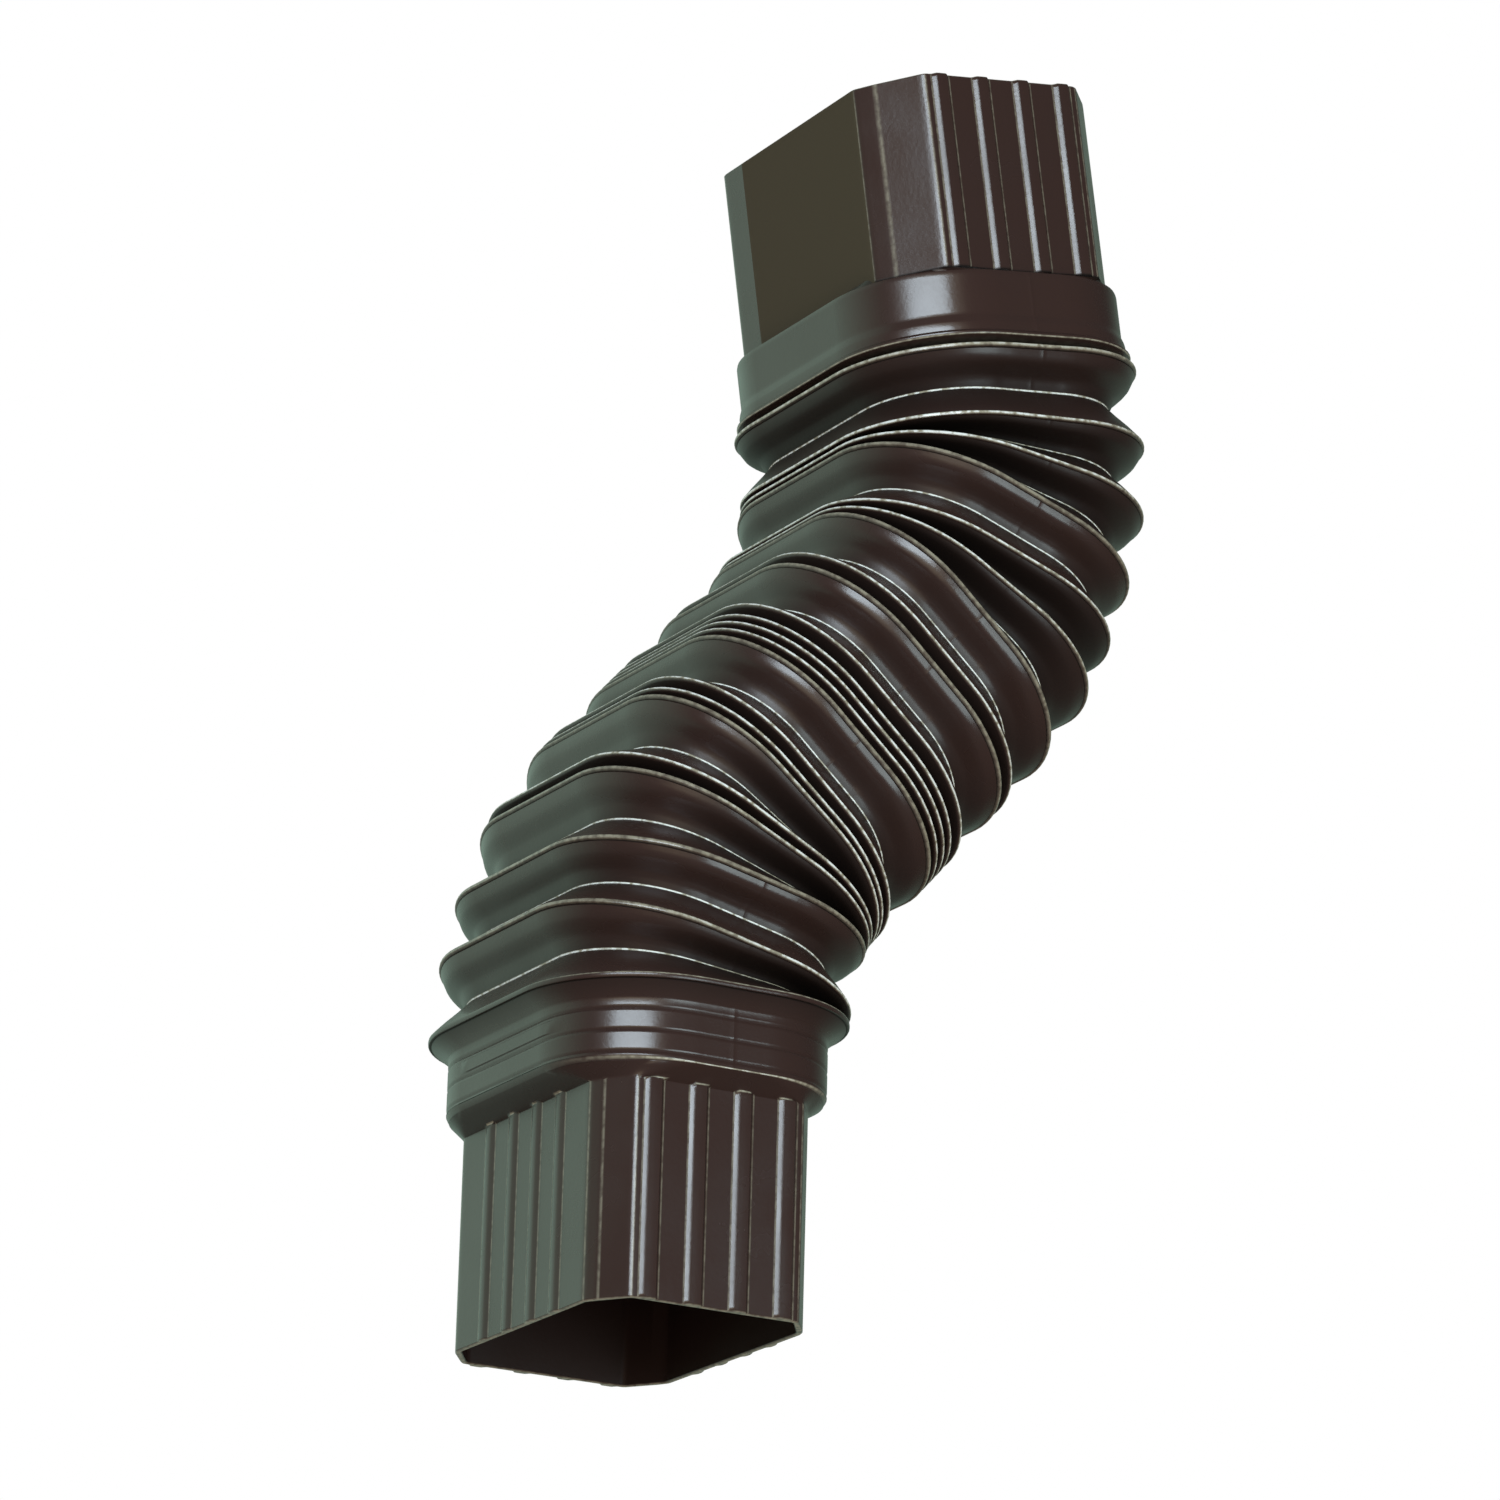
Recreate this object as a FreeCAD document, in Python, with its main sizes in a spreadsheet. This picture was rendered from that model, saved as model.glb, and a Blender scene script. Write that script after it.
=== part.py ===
# Flexible downspout elbow: one blow-moulded piece, a rectangular bellows bent into an S
# between two ribbed spigots. Millimetres. The origin is the middle of the lower rim, +Z runs
# up the lower spigot, the S bends in the XZ plane and the wide faces look along X.
import FreeCAD, Part
import math
import os

Vector = FreeCAD.Vector
Y_AXIS = Vector(0, 1, 0)
Z_AXIS = Vector(0, 0, 1)

# Driving dimensions, in mm
SIZES = {
    # Lower spigot, the outlet end
    "lower_size_x": 58,
    "lower_size_y": 85,
    "lower_facet_x": 7,
    "lower_facet_y": 10.5,
    "lower_length": 52,
    "lower_wall": 1.4,
    # Lower shoulder, collar and flange
    "lower_shoulder_height": 4,
    "lower_collar_height": 14.7,
    "lower_collar_radius": 27,
    "ring_depth": 0.5,
    "ring_half_width": 0.6,
    "ring_first": 1.6,
    "ring_pitch": 5.2,
    "flange_thickness": 4.6,
    "flange_edge": 1.4,
    # Bellows: every section is a core rectangle grown by a radius
    "core_x": 19,
    "core_y": 41,
    "crest_radius": 32,
    "root_radius": 24,
    "crest_width": 1,
    "bellows_wall": 1,
    "tip_wall": 1.8,
    "land_half_width": 0.6,
    # Mouth of a fold between two crests, from pressed flat to pulled wide
    "gap_pressed": 0.6,
    "gap_shut": 1.8,
    "gap_narrow": 3.4,
    "gap_open": 15.5,
    "gap_wide": 19,
    # Upper collar and shoulder
    "upper_lip_height": 1.6,
    "upper_lip_radius": 31,
    "upper_tier_height": 9,
    "upper_tier_radius": 30,
    "upper_collar_height": 17,
    "upper_collar_radius": 29.3,
    "upper_shoulder_height": 4,
    # Upper spigot, the inlet end
    "upper_size_x": 68,
    "upper_size_y": 95,
    "upper_facet_x": 12,
    "upper_facet_y": 15,
    "upper_length": 47,
    "upper_wall": 1.4,
    # Rounding at both ends of a spigot's corner facets
    "facet_round": 3,
    # Ribs that run along both spigots
    "rib_foot_width": 5.4,
    "rib_top_width": 2.2,
    "rib_height": 1.4,
    "rib_sink": 0.7,
    "rib_pitch": 11.8,
    "rib_overlap": 2,
}

# How far each fold is open at its -X edge and at its +X edge, from the flange up to the collar
FOLDS = (
    ("wide", "pressed"),
    ("open", "open"),
    ("wide", "pressed"),
    ("narrow", "pressed"),
    ("wide", "pressed"),
    ("shut", "pressed"),
    ("narrow", "shut"),
    ("open", "open"),
    ("shut", "shut"),
    ("shut", "shut"),
    ("shut", "shut"),
    ("narrow", "narrow"),
    ("open", "open"),
    ("narrow", "narrow"),
    ("open", "open"),
    ("pressed", "wide"),
    ("pressed", "open"),
    ("open", "open"),
    ("pressed", "wide"),
    ("pressed", "wide"),
    ("open", "wide"),
    ("shut", "shut"),
)
RING_COUNT = 3
RIBS_PER_FACE = 4
CORNER_CHORDS = 6
FLAT_ENOUGH = 1e-6

# A crest whose foot is narrower than this many walls is pressed solid on that side
SOLID_FOOT_WALLS = 4.5
# A crest that is solid on one side is hollow to this share of its depth on the wide faces
HALF_HOLLOW_SHARE = 0.5

doc = FreeCAD.newDocument("flexible_downspout_elbow")


def make_sheet():
    """The spreadsheet that holds every driving dimension under its own name."""
    table = doc.addObject("Spreadsheet::Sheet", "sizes")
    for row, (name, value) in enumerate(SIZES.items(), start=1):
        table.set(f"A{row}", name)
        table.set(f"B{row}", str(value))
        table.setAlias(f"B{row}", name)
    doc.recompute()
    return table


sheet = make_sheet()


def size(name):
    """The number in the sheet's cell of that name."""
    return float(getattr(sheet, name))


def rounded_rectangle(size_x, size_y, corner, pose, shift_x=0):
    """The points of a rounded rectangle in the XY plane of its pose, corners in equal chords."""
    flat_x = size_x / 2 - corner
    flat_y = size_y / 2 - corner
    points = []
    for quarter, (sign_x, sign_y) in enumerate(((1, 1), (-1, 1), (-1, -1), (1, -1))):
        centre = Vector(shift_x + sign_x * flat_x, sign_y * flat_y, 0)
        for step in range(CORNER_CHORDS + 1):
            angle = math.radians(90 * (quarter + step / CORNER_CHORDS))
            on_corner = Vector(corner * math.cos(angle), corner * math.sin(angle), 0)
            points.append(pose.multVec(centre + on_corner))
    return points


def grown_core(radius, pose):
    """A bellows or collar section: the core rectangle grown by a radius."""
    size_x = size("core_x") + 2 * radius
    size_y = size("core_y") + 2 * radius
    return rounded_rectangle(size_x, size_y, radius, pose)


def rounded_bend(before, corner, after):
    """Three points of a bend that starts at one point, heads for the corner and ends at the other."""
    return [before, before / 4 + corner / 2 + after / 4, after]


def spigot_section(end, inset, pose):
    """A section of the lower or the upper spigot, taken in by the inset: a rectangle with facets for corners."""
    half_x = size(f"{end}_size_x") / 2 - inset
    half_y = size(f"{end}_size_y") / 2 - inset
    facet_x = size(f"{end}_facet_x")
    facet_y = size(f"{end}_facet_y")
    slope = math.hypot(facet_x, facet_y)
    inner_x = facet_x - inset * (1 - (slope - facet_x) / facet_y)
    inner_y = facet_y - inset * (1 - (slope - facet_y) / facet_x)
    reach = Vector(-facet_x, facet_y, 0) * (size("facet_round") / slope)
    wide_end = Vector(half_x, half_y - inner_y, 0)
    narrow_end = Vector(half_x - inner_x, half_y, 0)
    corner = rounded_bend(wide_end - Vector(0, reach.Length, 0), wide_end, wide_end + reach)
    corner.append((wide_end + narrow_end) / 2)
    corner += rounded_bend(narrow_end - reach, narrow_end, narrow_end - Vector(reach.Length, 0, 0))
    points = []
    for sign_x, sign_y in ((1, 1), (-1, 1), (-1, -1), (1, -1)):
        placed = [pose.multVec(Vector(sign_x * point.x, sign_y * point.y, 0)) for point in corner]
        points += placed if sign_x == sign_y else placed[::-1]
    return points


def tilted(x, z, tilt):
    """A pose in the XZ plane, leaning towards +X by the tilt in radians."""
    return FreeCAD.Placement(Vector(x, 0, z), FreeCAD.Rotation(Y_AXIS, math.degrees(tilt)))


def along(pose, distance):
    """The pose moved along its own axis."""
    return pose.multiply(FreeCAD.Placement(Vector(0, 0, distance), FreeCAD.Rotation()))


def flat_face(*corners):
    """A flat face through its corners."""
    return Part.Face(Part.makePolygon(list(corners) + [corners[0]]))


def band_faces(ring, next_ring):
    """Flat faces from one ring of points to the next, split in two where the sheet twists."""
    faces = []
    count = len(ring)
    for index in range(count):
        following = (index + 1) % count
        a = ring[index]
        b = ring[following]
        c = next_ring[following]
        d = next_ring[index]
        normal = (b - a).cross(c - a).normalize()
        if abs((d - a).dot(normal)) < FLAT_ENOUGH:
            faces.append(flat_face(a, b, c, d))
        else:
            faces.append(flat_face(a, b, c))
            faces.append(flat_face(a, c, d))
    return faces


def make_tube(name, outer_rings, inner_rings):
    """A tube of folded sheet: its outer skin, its bore and the two rims that join them."""
    faces = []
    for rings in (outer_rings, inner_rings):
        for ring, next_ring in zip(rings[:-1], rings[1:]):
            faces += band_faces(ring, next_ring)
    faces += band_faces(outer_rings[0], inner_rings[0])
    faces += band_faces(outer_rings[-1], inner_rings[-1])
    tube = doc.addObject("Part::Feature", name)
    tube.Shape = Part.Solid(Part.Shell(faces))
    return tube


class Fold:
    """One fold of the bellows: its mouth at both edges and the pose of its root."""

    def __init__(self, words):
        self.gap_left = size(f"gap_{words[0]}")
        self.gap_right = size(f"gap_{words[1]}")
        self.pose = None


def fold_chain():
    """The poses of all crests and roots, going up from the top edge of the flange."""
    crest_size_x = size("core_x") + 2 * size("crest_radius")
    x = 0
    z = flange_top() - size("crest_width") / 2
    tilt = 0
    crests = [tilted(x, z, tilt)]
    folds = []
    for words in FOLDS:
        fold = Fold(words)
        turn = math.atan((fold.gap_right - fold.gap_left) / crest_size_x)
        advance = (fold.gap_left + fold.gap_right) / 2 + size("crest_width")
        lean = tilt - turn / 2
        fold.pose = tilted(x + advance / 2 * math.sin(lean), z + advance / 2 * math.cos(lean), lean)
        x += advance * math.sin(lean)
        z += advance * math.cos(lean)
        tilt -= turn
        crests.append(tilted(x, z, tilt))
        folds.append(fold)
    return crests, folds


def collar_foot():
    """Height of the lower edge of the lower collar."""
    return size("lower_length") + size("lower_shoulder_height")


def flange_top():
    """Height of the top edge of the flange over the lower collar."""
    return collar_foot() + size("lower_collar_height") + size("flange_thickness")


def lower_outer_sections():
    """Lower spigot, shoulder, collar with its rings, and the underside of the flange."""
    radius = size("lower_collar_radius")
    half_width = size("ring_half_width")
    sections = [
        spigot_section("lower", 0, tilted(0, 0, 0)),
        spigot_section("lower", 0, tilted(0, size("lower_length"), 0)),
        grown_core(radius, tilted(0, collar_foot(), 0)),
    ]
    for ring in range(RING_COUNT):
        height = collar_foot() + size("ring_first") + ring * size("ring_pitch")
        sections.append(grown_core(radius, tilted(0, height - half_width, 0)))
        sections.append(grown_core(radius - size("ring_depth"), tilted(0, height, 0)))
        sections.append(grown_core(radius, tilted(0, height + half_width, 0)))
    flange_foot = flange_top() - size("flange_thickness")
    sections.append(grown_core(radius, tilted(0, flange_foot, 0)))
    sections.append(grown_core(size("crest_radius"), tilted(0, flange_top() - size("flange_edge"), 0)))
    return sections


def bellows_outer_sections(crests, folds):
    """Crest, root, crest, root, up to the last root under the upper collar."""
    half_width = size("crest_width") / 2
    crest_radius = size("crest_radius")
    sections = [grown_core(crest_radius, along(crests[0], half_width))]
    for fold, crest in zip(folds[:-1], crests[1:-1]):
        sections.append(grown_core(size("root_radius"), fold.pose))
        sections.append(grown_core(crest_radius, along(crest, -half_width)))
        sections.append(grown_core(crest_radius, along(crest, half_width)))
    sections.append(grown_core(size("root_radius"), folds[-1].pose))
    return sections


def upper_outer_sections(foot):
    """Upper collar with its lip and step, shoulder and spigot, going up from the foot pose."""
    tier_height = size("upper_tier_height")
    collar_height = size("upper_collar_height")
    shoulder_top = collar_height + size("upper_shoulder_height")
    rim = shoulder_top + size("upper_length")
    return [
        grown_core(size("upper_lip_radius"), foot),
        grown_core(size("upper_lip_radius"), along(foot, size("upper_lip_height") / 2)),
        grown_core(size("upper_tier_radius"), along(foot, size("upper_lip_height"))),
        grown_core(size("upper_tier_radius"), along(foot, tier_height)),
        grown_core(size("upper_collar_radius"), along(foot, tier_height + size("ring_half_width"))),
        grown_core(size("upper_collar_radius"), along(foot, collar_height)),
        spigot_section("upper", 0, along(foot, shoulder_top)),
        spigot_section("upper", 0, along(foot, rim)),
    ]


def hollow_section(crest, below, above):
    """The inside of a crest, or None where the crest is pressed solid."""
    solid_foot = SOLID_FOOT_WALLS * size("bellows_wall")
    foot_left = (below.gap_left + above.gap_left) / 2 + size("crest_width")
    foot_right = (below.gap_right + above.gap_right) / 2 + size("crest_width")
    deep = size("crest_radius") - size("tip_wall")
    shallow = size("root_radius") - size("bellows_wall")
    if foot_left < solid_foot and foot_right < solid_foot:
        return None
    if foot_left >= solid_foot and foot_right >= solid_foot:
        return grown_core(deep, crest)
    middle = shallow + HALF_HOLLOW_SHARE * (deep - shallow)
    side = 1 if foot_right > foot_left else -1
    size_x = size("core_x") + deep + shallow
    size_y = size("core_y") + 2 * middle
    return rounded_rectangle(size_x, size_y, middle, crest, side * (deep - shallow) / 2)


def bellows_inner_sections(crests, folds):
    """The bore through the bellows: a narrow land inside each root, a groove inside each hollow crest."""
    radius = size("root_radius") - size("bellows_wall")
    land = size("land_half_width")
    hollows = [None]
    for index, crest in enumerate(crests[1:-1]):
        hollows.append(hollow_section(crest, folds[index], folds[index + 1]))
    hollows.append(None)
    sections = []
    for index, fold in enumerate(folds):
        below = hollows[index]
        above = hollows[index + 1]
        ends_bore = index in (0, len(folds) - 1)
        if below is None and above is None and not ends_bore:
            continue
        sections.append(grown_core(radius, along(fold.pose, -land)))
        sections.append(grown_core(radius, along(fold.pose, land)))
        if above is not None:
            sections.append(above)
    return sections


def bore_sections(crests, folds, foot):
    """All inner sections, from the lower rim to the upper rim."""
    wall = size("bellows_wall")
    lower_wall = size("lower_wall")
    upper_wall = size("upper_wall")
    lower_radius = size("lower_collar_radius") - size("lower_wall")
    upper_radius = size("upper_collar_radius") - size("upper_wall")
    flange_foot = flange_top() - size("flange_thickness")
    shoulder_top = size("upper_collar_height") + size("upper_shoulder_height")
    rim = shoulder_top + size("upper_length")
    sections = [
        spigot_section("lower", lower_wall, tilted(0, 0, 0)),
        spigot_section("lower", lower_wall, tilted(0, size("lower_length") + wall / 2, 0)),
        grown_core(lower_radius, tilted(0, collar_foot() + wall, 0)),
        grown_core(lower_radius, tilted(0, flange_foot, 0)),
    ]
    sections += bellows_inner_sections(crests, folds)
    sections += [
        grown_core(upper_radius, along(foot, size("upper_lip_height") + wall)),
        grown_core(upper_radius, along(foot, size("upper_collar_height") - wall)),
        spigot_section("upper", upper_wall, along(foot, shoulder_top)),
        spigot_section("upper", upper_wall, along(foot, rim)),
    ]
    return sections


def make_rib(name, end, pose):
    """A rib along a spigot: a bar that narrows outwards, with its foot sunk in the wall."""
    rib = doc.addObject("Part::Wedge", name)
    rib.setExpression("Xmin", "-sizes.rib_foot_width / 2")
    rib.setExpression("Xmax", "sizes.rib_foot_width / 2")
    rib.setExpression("X2min", "-sizes.rib_top_width / 2")
    rib.setExpression("X2max", "sizes.rib_top_width / 2")
    rib.setExpression("Ymin", "-sizes.rib_sink")
    rib.setExpression("Ymax", "sizes.rib_height")
    for bound in ("Zmin", "Z2min"):
        setattr(rib, bound, 0)
    for bound in ("Zmax", "Z2max"):
        rib.setExpression(bound, f"sizes.{end}_length + sizes.rib_overlap")
    rib.Placement = pose
    return rib


def make_ribs(end, pose, bare_faces=()):
    """The ribs of a spigot, evenly spaced about the middle of each face that isn't bare."""
    stand = {
        "+X": (-90, size(f"{end}_size_x") / 2),
        "+Y": (0, size(f"{end}_size_y") / 2),
        "-X": (90, size(f"{end}_size_x") / 2),
        "-Y": (180, size(f"{end}_size_y") / 2),
    }
    ribs = []
    for face, (turn, distance) in stand.items():
        if face in bare_faces:
            continue
        for index in range(RIBS_PER_FACE):
            across = (index - (RIBS_PER_FACE - 1) / 2) * size("rib_pitch")
            turned = FreeCAD.Placement(Vector(0, 0, 0), FreeCAD.Rotation(Z_AXIS, turn))
            on_face = FreeCAD.Placement(Vector(across, distance, 0), FreeCAD.Rotation())
            ribs.append(make_rib(f"{end}_rib", end, pose.multiply(turned).multiply(on_face)))
    return ribs


def check_document():
    """Stops when any object of the document failed or has no valid shape."""
    for item in doc.Objects:
        failed = "Invalid" in item.State or "Error" in item.State
        if failed:
            raise RuntimeError(f"{item.Label} failed: {item.State}")
        if hasattr(item, "Shape") and (item.Shape.isNull() or not item.Shape.isValid()):
            raise RuntimeError(f"{item.Label} has no valid shape")


crest_poses, fold_list = fold_chain()
collar_pose = crest_poses[-1]
outer_rings = lower_outer_sections() + bellows_outer_sections(crest_poses, fold_list)
outer_rings += upper_outer_sections(collar_pose)
folded_tube = make_tube("folded_tube", outer_rings, bore_sections(crest_poses, fold_list, collar_pose))

upper_base = along(collar_pose, size("upper_collar_height") + size("upper_shoulder_height") - size("rib_overlap"))
elbow = doc.addObject("Part::MultiFuse", "flex_elbow")
lower_ribs = make_ribs("lower", tilted(0, 0, 0))
upper_ribs = make_ribs("upper", upper_base, bare_faces=("-X",))
elbow.Shapes = [folded_tube] + lower_ribs + upper_ribs
elbow.Label = "flex_elbow"

doc.recompute()
check_document()
if len(elbow.Shape.Solids) != 1:
    raise RuntimeError(f"the elbow has {len(elbow.Shape.Solids)} solids, not one")

os.makedirs("parts", exist_ok=True)
elbow.Shape.exportStep(f"parts/{elbow.Label}.step")
box = elbow.Shape.BoundBox
print(f"box {box.XMin:.1f} {box.YMin:.1f} {box.ZMin:.1f} to {box.XMax:.1f} {box.YMax:.1f} {box.ZMax:.1f}")
print(f"volume {elbow.Shape.Volume / 1000:.1f} cm3, faces {len(elbow.Shape.Faces)}")
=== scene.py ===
import math

import bpy
import numpy as np
from mathutils import Matrix, Vector


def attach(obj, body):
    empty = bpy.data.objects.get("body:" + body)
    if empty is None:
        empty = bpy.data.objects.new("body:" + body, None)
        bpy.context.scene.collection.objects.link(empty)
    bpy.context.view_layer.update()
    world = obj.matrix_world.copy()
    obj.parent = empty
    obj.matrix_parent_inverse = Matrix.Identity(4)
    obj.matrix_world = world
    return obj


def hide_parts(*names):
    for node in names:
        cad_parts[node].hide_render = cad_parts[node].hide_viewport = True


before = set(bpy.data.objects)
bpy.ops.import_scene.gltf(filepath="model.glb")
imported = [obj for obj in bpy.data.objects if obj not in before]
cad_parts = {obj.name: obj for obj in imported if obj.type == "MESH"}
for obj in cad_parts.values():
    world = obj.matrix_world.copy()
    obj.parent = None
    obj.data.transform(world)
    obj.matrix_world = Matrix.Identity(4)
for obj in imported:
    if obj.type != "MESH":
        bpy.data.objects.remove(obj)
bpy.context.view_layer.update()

# Real sizes of the moulding, in mm
MM = 0.001
LOWER_HALF = (29.0, 42.5)
LOWER_FACET = (7.0, 10.5)
LOWER_LENGTH = 52.0
UPPER_HALF = (34.0, 47.5)
UPPER_FACET = (12.0, 15.0)
UPPER_LENGTH = 47.0
FACET_ROUND = 1.0
SPIGOT_WALL = 1.4
RIM_ROUND = 0.35
LOWER_SHOULDER = 4.0
LOWER_COLLAR = 14.7
LOWER_COLLAR_RADIUS = 27.0
FLANGE = 4.6
FLANGE_EDGE = 1.4
RING_HEIGHTS = (1.6, 6.8, 12.0)
RING_DEPTH = 0.28
RING_HALF_WIDTH = 0.6
CORE_HALF = (9.5, 20.5)
CREST_RADIUS = 32.0
ROOT_RADIUS = 24.0
CREST_WIDTH = 1.0
BELLOWS_WALL = 1.0
TIP_WALL = 1.8
LAND_HALF_WIDTH = 0.6
GAPS = {"pressed": 0.6, "shut": 1.8, "narrow": 3.4, "open": 15.5, "wide": 19.0}
UPPER_LIP = 1.6
UPPER_LIP_RADIUS = 31.0
UPPER_STEP = 4.6
UPPER_TIER_RADIUS = 30.0
UPPER_COLLAR = 17.0
UPPER_COLLAR_RADIUS = 29.3
UPPER_SHOULDER = 4.0
UPPER_CREASE = 0.9

# How far each fold is open at its -X edge and at its +X edge, from the flange up to the collar
FOLDS = (
    ("wide", "pressed"), ("open", "open"), ("wide", "pressed"), ("narrow", "pressed"),
    ("wide", "pressed"), ("shut", "pressed"), ("narrow", "shut"), ("open", "open"),
    ("shut", "shut"), ("shut", "shut"), ("shut", "shut"), ("narrow", "narrow"),
    ("open", "open"), ("narrow", "narrow"), ("open", "open"), ("pressed", "wide"),
    ("pressed", "open"), ("open", "open"), ("pressed", "wide"), ("pressed", "wide"),
    ("open", "wide"), ("shut", "shut"),
)

# Ribs along the spigots: where they stand, and height over distance from their middle line
RIB_OFFSETS = (-17.7, -5.9, 5.9, 17.7)
RIB_DISTANCES = (0.0, 0.6, 1.4, 2.25, 2.65)
RIB_HEIGHTS = (1.2, 1.19, 1.13, 0.12, 0.0)
WIDE_RIB_HEIGHTS = (0.75, 0.73, 0.6, 0.12, 0.0)
RIB_FOOT = RIB_DISTANCES[-1]
RIB_TOP = WIDE_RIB_HEIGHTS[2]
LINE_WIDTH = 0.25

# A low ridge along each corner facet: its height, and its top and feet as shares of the facet's width
RIDGE_HEIGHT = 0.3
RIDGE_SHARE = 0.30
RIDGE_FEET = (0.06, 0.94)

# The mould's parting seam
SEAM_HALF_WIDTH = 0.35
SEAM_HEIGHT = 0.05

# Where the points of every section lie
BEND_STEPS = 4
FACET_SHARES = (0.05, 0.10, 0.17, 0.24, 0.30, 0.34, 0.55, 0.80, 0.92)
CORNER_POINTS = 2 * (BEND_STEPS + 1) + len(FACET_SHARES)
FLAT_HALF_X = 21.0
FLAT_HALF_Y = 31.0
MARGIN_STATIONS = (23.2, 27.0, 29.8)
FACES = ("+Y", "-X", "-Y", "+X")
NARROW_FACES = ("+Y", "-Y")
NORMALS = {"+Y": (0, 1), "-X": (-1, 0), "-Y": (0, -1), "+X": (1, 0)}


def stations(extra):
    """Places across a face, in mm from its middle: across each rib, beside its feet, and the extra ones."""
    places = {0.0}
    for place in extra:
        places |= {-place, place}
    for offset in RIB_OFFSETS:
        for distance in RIB_DISTANCES[1:] + (RIB_FOOT + LINE_WIDTH,):
            places |= {offset - distance, offset + distance}
    return np.array(sorted(places))


STATIONS_X = stations((SEAM_HALF_WIDTH,))
STATIONS_Y = stations(MARGIN_STATIONS)


def index_ring():
    """The first point of each corner and side of a ring, and how many points each side has."""
    corners = {}
    sides = {}
    index = 0
    for face in FACES:
        corners[face] = index
        index += CORNER_POINTS
        count = len(STATIONS_X) if face in NARROW_FACES else len(STATIONS_Y)
        sides[face] = (index, count)
        index += count
    return corners, sides, index


CORNERS, SIDES, RING_POINTS = index_ring()
SEAM_POINTS = [SIDES[face][0] + SIDES[face][1] // 2 for face in NARROW_FACES]


def rib_distances():
    """How far each point of a ring is from the middle line of the nearest rib; endless at the corners."""
    distances = np.full(RING_POINTS, np.inf)
    for face, (start, count) in SIDES.items():
        places = STATIONS_X if face in NARROW_FACES else STATIONS_Y
        distances[start:start + count] = np.min(np.abs(places[:, None] - np.array(RIB_OFFSETS)), axis=1)
    return distances


# A ribbed ring has all its points, a plain one leaves out those that lie across the ribs
FROM_RIB = rib_distances()
RIBBED = np.ones(RING_POINTS, bool)
PLAIN = FROM_RIB > RIB_FOOT + LINE_WIDTH / 2


class Pose:
    """A place in the XZ plane whose axis leans towards +X by the tilt."""

    def __init__(self, x, z, tilt):
        self.x = x
        self.z = z
        self.tilt = tilt

    def along(self, distance):
        """The pose moved along its own axis."""
        x = self.x + distance * math.sin(self.tilt)
        z = self.z + distance * math.cos(self.tilt)
        return Pose(x, z, self.tilt)

    def place(self, flat, lift=0.0):
        """Points of a flat section, lifted along the axis, in the object's frame."""
        x = self.x + flat[:, 0] * math.cos(self.tilt) + lift * math.sin(self.tilt)
        z = self.z - flat[:, 0] * math.sin(self.tilt) + lift * math.cos(self.tilt)
        return np.column_stack([x, flat[:, 1], z])


GROUND = Pose(0, 0, 0)


def section(corner_points, half, stations_x, stations_y):
    """Corners and sides joined into one ring of points, counter-clockwise from the +X side."""
    points = []
    for index, face in enumerate(FACES):
        before = np.array(NORMALS[FACES[index - 1]], float)
        normal = np.array(NORMALS[face], float)
        points.append(corner_points(before, normal))
        narrow = face in NARROW_FACES
        places = stations_x if narrow else stations_y
        distance = half[1] if narrow else half[0]
        points.append(distance * normal + np.outer(places, -before))
    return np.vstack(points)


def grown_core(radius):
    """A bellows or collar section: the core rectangle grown by a radius."""
    angles = np.linspace(0, math.pi / 2, CORNER_POINTS)

    def corner_points(before, normal):
        centre = (before + normal) * CORE_HALF
        return centre + radius * (np.outer(np.cos(angles), before) + np.outer(np.sin(angles), normal))

    half = (CORE_HALF[0] + radius, CORE_HALF[1] + radius)
    stations_x = STATIONS_X * CORE_HALF[0] / FLAT_HALF_X
    stations_y = STATIONS_Y * CORE_HALF[1] / FLAT_HALF_Y
    return section(corner_points, half, stations_x, stations_y)


def bend(start, corner, end):
    """Points of a smooth bend from one point to another that heads for the corner."""
    share = np.linspace(0, 1, BEND_STEPS + 1)[:, None]
    return (1 - share) ** 2 * start + 2 * share * (1 - share) * corner + share ** 2 * end


def spigot(half, facet, inset=0.0):
    """A spigot section: a rectangle with a facet at each corner, taken in by the inset."""
    slope = math.hypot(*facet)
    inner = (
        facet[0] - inset * (1 - (slope - facet[0]) / facet[1]),
        facet[1] - inset * (1 - (slope - facet[1]) / facet[0]),
    )
    inner_half = (half[0] - inset, half[1] - inset)

    def corner_points(before, normal):
        from_wide = before[0] != 0
        reach_before = inner_half[0] if from_wide else inner_half[1]
        reach_normal = inner_half[1] if from_wide else inner_half[0]
        leg_before = inner[1] if from_wide else inner[0]
        leg_normal = inner[0] if from_wide else inner[1]
        first = reach_before * before + (reach_normal - leg_before) * normal
        second = (reach_before - leg_normal) * before + reach_normal * normal
        facing = (second - first) / np.linalg.norm(second - first)
        round_in = bend(first - FACET_ROUND * normal, first, first + FACET_ROUND * facing)
        round_out = bend(second - FACET_ROUND * facing, second, second - FACET_ROUND * before)
        shares = np.array(FACET_SHARES) if from_wide else 1 - np.array(FACET_SHARES)[::-1]
        flat = np.outer(1 - shares, round_in[-1]) + np.outer(shares, round_out[0])
        return np.vstack([round_in, flat, round_out])

    return section(corner_points, inner_half, STATIONS_X, STATIONS_Y)


def outward(flat):
    """Unit normals of a ring of points that runs counter-clockwise."""
    tangent = np.roll(flat, -1, axis=0) - np.roll(flat, 1, axis=0)
    normal = np.column_stack([tangent[:, 1], -tangent[:, 0]])
    return normal / np.linalg.norm(normal, axis=1)[:, None]


ROUND_NORMALS = outward(grown_core(CREST_RADIUS))
SIDEWAYS = np.abs(ROUND_NORMALS[:, 0])
FACING_Y = np.abs(ROUND_NORMALS[:, 1])


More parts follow.
